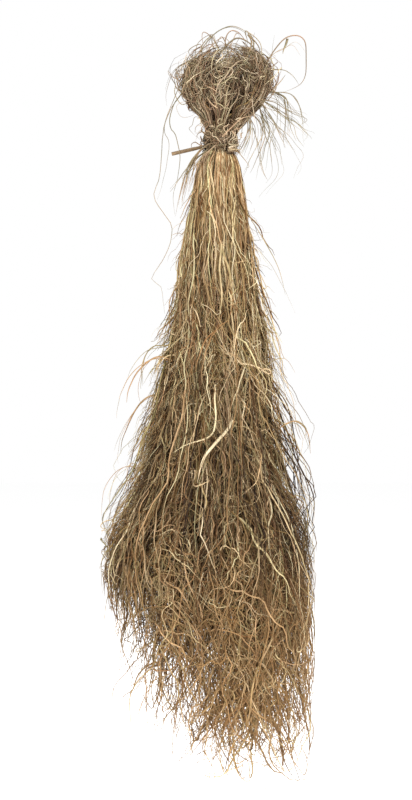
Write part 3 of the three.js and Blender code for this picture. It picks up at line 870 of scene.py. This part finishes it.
neckWisps = [   # these hang down past the binding
    {"path": [(48, -10, 44), (63, -8, 24), (77, -6, 6), (87, -4, -14), (91, -2, -31), (78, 0, -48),
              (68, 0, -66)], "stems": 5, "part": 11, "girth": 0.6, "tone": 0.62},
    {"path": [(50, -8, 40), (58, -6, 16), (51, -6, -7), (45, -6, -32), (37, -6, -56)],
     "stems": 7, "part": 12, "girth": 0.6, "tone": 0.66},
    {"path": [(40, -10, 22), (44, -10, 0), (45, -10, -35), (54, -8, -52)],
     "stems": 2, "part": 4, "girth": 0.6, "tone": 0.6},
    {"path": [(-28, -12, 92), (-40, -10, 85), (-49, -8, 72), (-57, -6, 53), (-64, -4, 35), (-68, -2, 14),
              (-69, -2, -14), (-72, -4, -40), (-77, -6, -60), (-62, -8, -84), (-54, -10, -96),
              (-55, -12, -114), (-63, -10, -133), (-78, -8, -159), (-66, -8, -168), (-62, -8, -199),
              (-55, -8, -224)], "stems": 1, "part": 1, "girth": 1.3, "tone": 0.55},
    {"path": [(-36, -6, 80), (-47, -4, 62), (-57, -2, 48), (-62, 0, 30), (-60, 0, 19), (-53, -2, 10),
              (-51, -4, -14), (-54, -6, -42), (-60, -8, -66), (-57, -8, -92)],
     "stems": 2, "part": 3, "girth": 0.7, "tone": 0.6},
    {"path": [(16, -19, -4), (26, -17, -16), (33, -16, -28), (22, -18, -31)],
     "stems": 1, "part": 0, "girth": 0.8, "tone": 0.5},
    {"path": [(-14, -19, -6), (-30, -18, -18), (-40, -17, -30), (-49, -15, -43), (-57, -12, -55)],
     "stems": 3, "part": 4, "girth": 0.8, "tone": 0.65},
    {"path": [(-16, -19, -8), (-39, -18, -34), (-46, -17, -41), (-39, -18, -49), (-32, -20, -56)],
     "stems": 2, "part": 3, "girth": 1.1, "tone": 0.5},
    {"path": [(-10, -18, 2), (-24, -19, -8), (-33, -19, -24), (-38, -18, -48), (-40, -18, -80)],
     "stems": 12, "part": 6, "girth": 1.0, "tone": 0.55},
    {"path": [(-4, -20, 0), (-18, -22, -14), (-27, -24, -32), (-30, -26, -56)],
     "stems": 8, "part": 6, "girth": 1.1, "tone": 0.42},
    {"path": [(30, -16, 42), (40, -14, 22), (38, -12, 4), (32, -12, -14)],
     "stems": 10, "part": 13, "girth": 0.75, "tone": 0.62},
    {"path": [(34, 2, 46), (44, 4, 24), (42, 6, 2), (36, 6, -24)],
     "stems": 8, "part": 13, "girth": 0.75, "tone": 0.5},
    {"path": [(10, 36, 60), (6, 52, 40), (2, 60, 16), (0, 62, -14), (4, 56, -44)],
     "stems": 4, "part": 8, "girth": 0.7, "tone": 0.7},
]
skirtWisps = {
    "left_locks": [
        {"path": [(-52, -30, -238), (-66, -28, -244), (-85, -24, -247), (-97, -22, -266), (-98, -20, -297)],
         "stems": 3, "part": 7, "girth": 1.0, "tone": 0.6},
        {"path": [(-54, -26, -262), (-78, -24, -258), (-100, -20, -276), (-110, -18, -310),
                  (-104, -18, -342)], "stems": 3, "part": 8, "girth": 0.9, "tone": 0.5},
        {"path": [(-60, -24, -300), (-88, -22, -306), (-104, -18, -330), (-112, -16, -368),
                  (-98, -18, -392)], "stems": 3, "part": 9, "girth": 0.9, "tone": 0.6},
        {"path": [(-84, -20, -400), (-110, -18, -388), (-128, -14, -402), (-136, -12, -440),
                  (-128, -12, -470)], "stems": 3, "part": 9, "girth": 0.9, "tone": 0.55},
        {"path": [(-100, -20, -470), (-124, -18, -462), (-142, -12, -486), (-144, -10, -520),
                  (-130, -12, -536), (-120, -14, -520)], "stems": 3, "part": 8, "girth": 1.0, "tone": 0.45},
        {"path": [(-100, -24, -508), (-128, -22, -516), (-143, -16, -540), (-132, -16, -562),
                  (-112, -18, -556)], "stems": 4, "part": 9, "girth": 1.0, "tone": 0.4},
        {"path": [(-84, -26, -540), (-106, -24, -574), (-124, -18, -590), (-134, -14, -574)],
         "stems": 3, "part": 9, "girth": 0.9, "tone": 0.5},
    ],
    "front_locks": [
        {"path": [(-6, -66, -286), (-6, -70, -310), (-5, -72, -335), (-11, -74, -351), (-39, -76, -361),
                  (-66, -72, -380)], "stems": 1, "part": 0, "girth": 2.4, "tone": 0.88},
        {"path": [(16, -70, -330), (8, -74, -345), (-10, -76, -364), (-24, -78, -382), (-32, -78, -410)],
         "stems": 1, "part": 0, "girth": 2.2, "tone": 0.86},
        {"path": [(50, -66, -370), (46, -70, -392), (42, -72, -406), (30, -74, -417), (12, -76, -432)],
         "stems": 1, "part": 0, "girth": 1.6, "tone": 0.84},
        {"path": [(2, -50, -120), (3, -54, -150), (6, -58, -190), (4, -62, -220)],
         "stems": 3, "part": 5, "girth": 1.3, "tone": 0.72},
        {"path": [(-62, -66, -590), (-50, -70, -610), (-36, -72, -617), (-26, -74, -611), (-14, -74, -594)],
         "stems": 2, "part": 2, "girth": 2.0, "tone": 0.85},
        {"path": [(6, -72, -560), (10, -74, -582), (24, -74, -613), (38, -74, -640), (44, -72, -668)],
         "stems": 3, "part": 3, "girth": 1.5, "tone": 0.9},
        {"path": [(18, -66, -668), (24, -68, -684), (28, -68, -696), (24, -66, -708)],
         "stems": 1, "part": 0, "girth": 3.2, "tone": 0.95},
        {"path": [(14, -52, -700), (18, -54, -736), (24, -56, -756), (34, -56, -764), (40, -54, -756)],
         "stems": 3, "part": 4, "girth": 1.2, "tone": 0.5},
    ],
    "right_locks": [
        {"path": [(52, -26, -270), (72, -24, -258), (90, -20, -256)],
         "stems": 2, "part": 4, "girth": 0.8, "tone": 0.6},
        {"path": [(60, -26, -350), (84, -22, -338), (98, -18, -352), (104, -16, -384)],
         "stems": 3, "part": 7, "girth": 0.8, "tone": 0.6},
        {"path": [(74, -26, -430), (98, -22, -424), (112, -18, -446), (112, -16, -478), (100, -18, -492)],
         "stems": 3, "part": 8, "girth": 0.8, "tone": 0.6},
        {"path": [(80, -26, -560), (104, -22, -572), (112, -18, -610), (108, -18, -660), (102, -18, -706)],
         "stems": 4, "part": 8, "girth": 0.9, "tone": 0.7},
        {"path": [(30, -30, -80), (51, -28, -114), (67, -24, -145), (77, -20, -184), (76, -18, -204)],
         "stems": 1, "part": 1, "girth": 0.7, "tone": 0.6},
        {"path": [(40, -20, -120), (60, -18, -150), (80, -16, -196), (96, -12, -232)],
         "stems": 1, "part": 1, "girth": 0.6, "tone": 0.6},
    ],
}


arches = {"count": 22, "seed": 5, "reach": (20, 48), "low": (84, 104), "high": (118, 141),
          "girth": (0.6, 1.3), "turn": (0.7, 2.6), "tone": (0.25, 0.8), "axis": 8, "depthShare": 0.8,
          # along the arch, as shares of its turn, its rise and its reach
          "steps": [(0, 0, 1), (0.2, 0.65, 1.05), (0.5, 1, 0.7), (0.8, 0.6, 0.95), (1, -0.1, 0.9)]}


def makeArches():  # stems that loop up over the crown and come down again
    chances = np.random.default_rng(arches["seed"])
    wisps = []
    for _ in range(arches["count"]):
        start = chances.uniform(0, 2 * math.pi)
        turn = chances.uniform(*arches["turn"])
        reach = chances.uniform(*arches["reach"])
        low, high = chances.uniform(*arches["low"]), chances.uniform(*arches["high"])
        path = []
        for step, rise, out in arches["steps"]:
            angle = start + turn * step
            path.append((arches["axis"] + out * reach * math.cos(angle),
                         out * reach * arches["depthShare"] * math.sin(angle), low + (high - low) * rise))
        wisps.append({"path": path, "stems": 1, "part": 1, "girth": chances.uniform(*arches["girth"]),
                      "tone": chances.uniform(*arches["tone"])})
    return wisps


# A wisp's stems fan out towards their tips, and are looser the further they part.
wispForm = {"fan": (0.2, 1.2), "leastPart": 0.05, "loose": 0.2, "looser": 0.05}


def wispGuide(wisp):
    rough = np.array(wisp["path"], dtype=float) * mm
    ends = np.vstack([2 * rough[0] - rough[1], rough, 2 * rough[-1] - rough[-2]])
    points = []
    for i in range(len(rough) - 1):  # a smooth curve through the path's points
        a, b, c, d = ends[i:i + 4]
        for t in np.linspace(0, 1, 6, endpoint=False):
            points.append(0.5 * (2 * b + (c - a) * t + (2 * a - 5 * b + 4 * c - d) * t ** 2
                                 + (3 * b - a - 3 * c + d) * t ** 3))
    points.append(rough[-1])
    count = len(points)
    parts = np.linspace(*wispForm["fan"], count) * max(wisp["part"], wispForm["leastPart"]) * mm
    return {"points": points, "side": np.outer(parts, (1, 0, 0.6)), "depth": np.outer(parts, (0, -1, 0.3)),
            "loose": wispForm["loose"] + wispForm["looser"] * wisp["part"], "girth": wisp["girth"],
            "base": wisp["tone"]}


wispStems = {"Points": 40, "Thickness": 0.7 * mm, "Flatness": 0.75, "Shell": -1.0, "Clump": 1,
             "Clump spread": 0.2, "First start": 0.0, "Last start": 0.04, "Least length": 0.7,
             "Most length": 1.0, "Heading": 0.5, "Wander": 0.7, "Wander size": 35 * mm, "Tip curl": 0.5,
             "Lift": 0.5}


def growWisps(name, wisps, material, seed):
    guides = [wispGuide(wisp) for wisp in wisps for _ in range(wisp["stems"])]
    return growBunch(name, guides, {**wispStems, "Stems per guide": 1}, material, seed)


def makeWisps():
    crown = growWisps("crownWisps", crownWisps + makeArches(), crownGrass, 90)
    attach(crown, "crown_and_binding")
    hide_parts("crown_spill_right", "crown_spill_left")
    hanging = growWisps("neckWisps", neckWisps, crownGrass, 95)
    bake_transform(hanging)
    for seed, (body, wisps) in enumerate(skirtWisps.items()):
        piece = growWisps(body.split("_")[0] + "Wisps", wisps, skirtGrass, 91 + seed)
        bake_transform(piece)


makeWisps()
print("loose stems made")
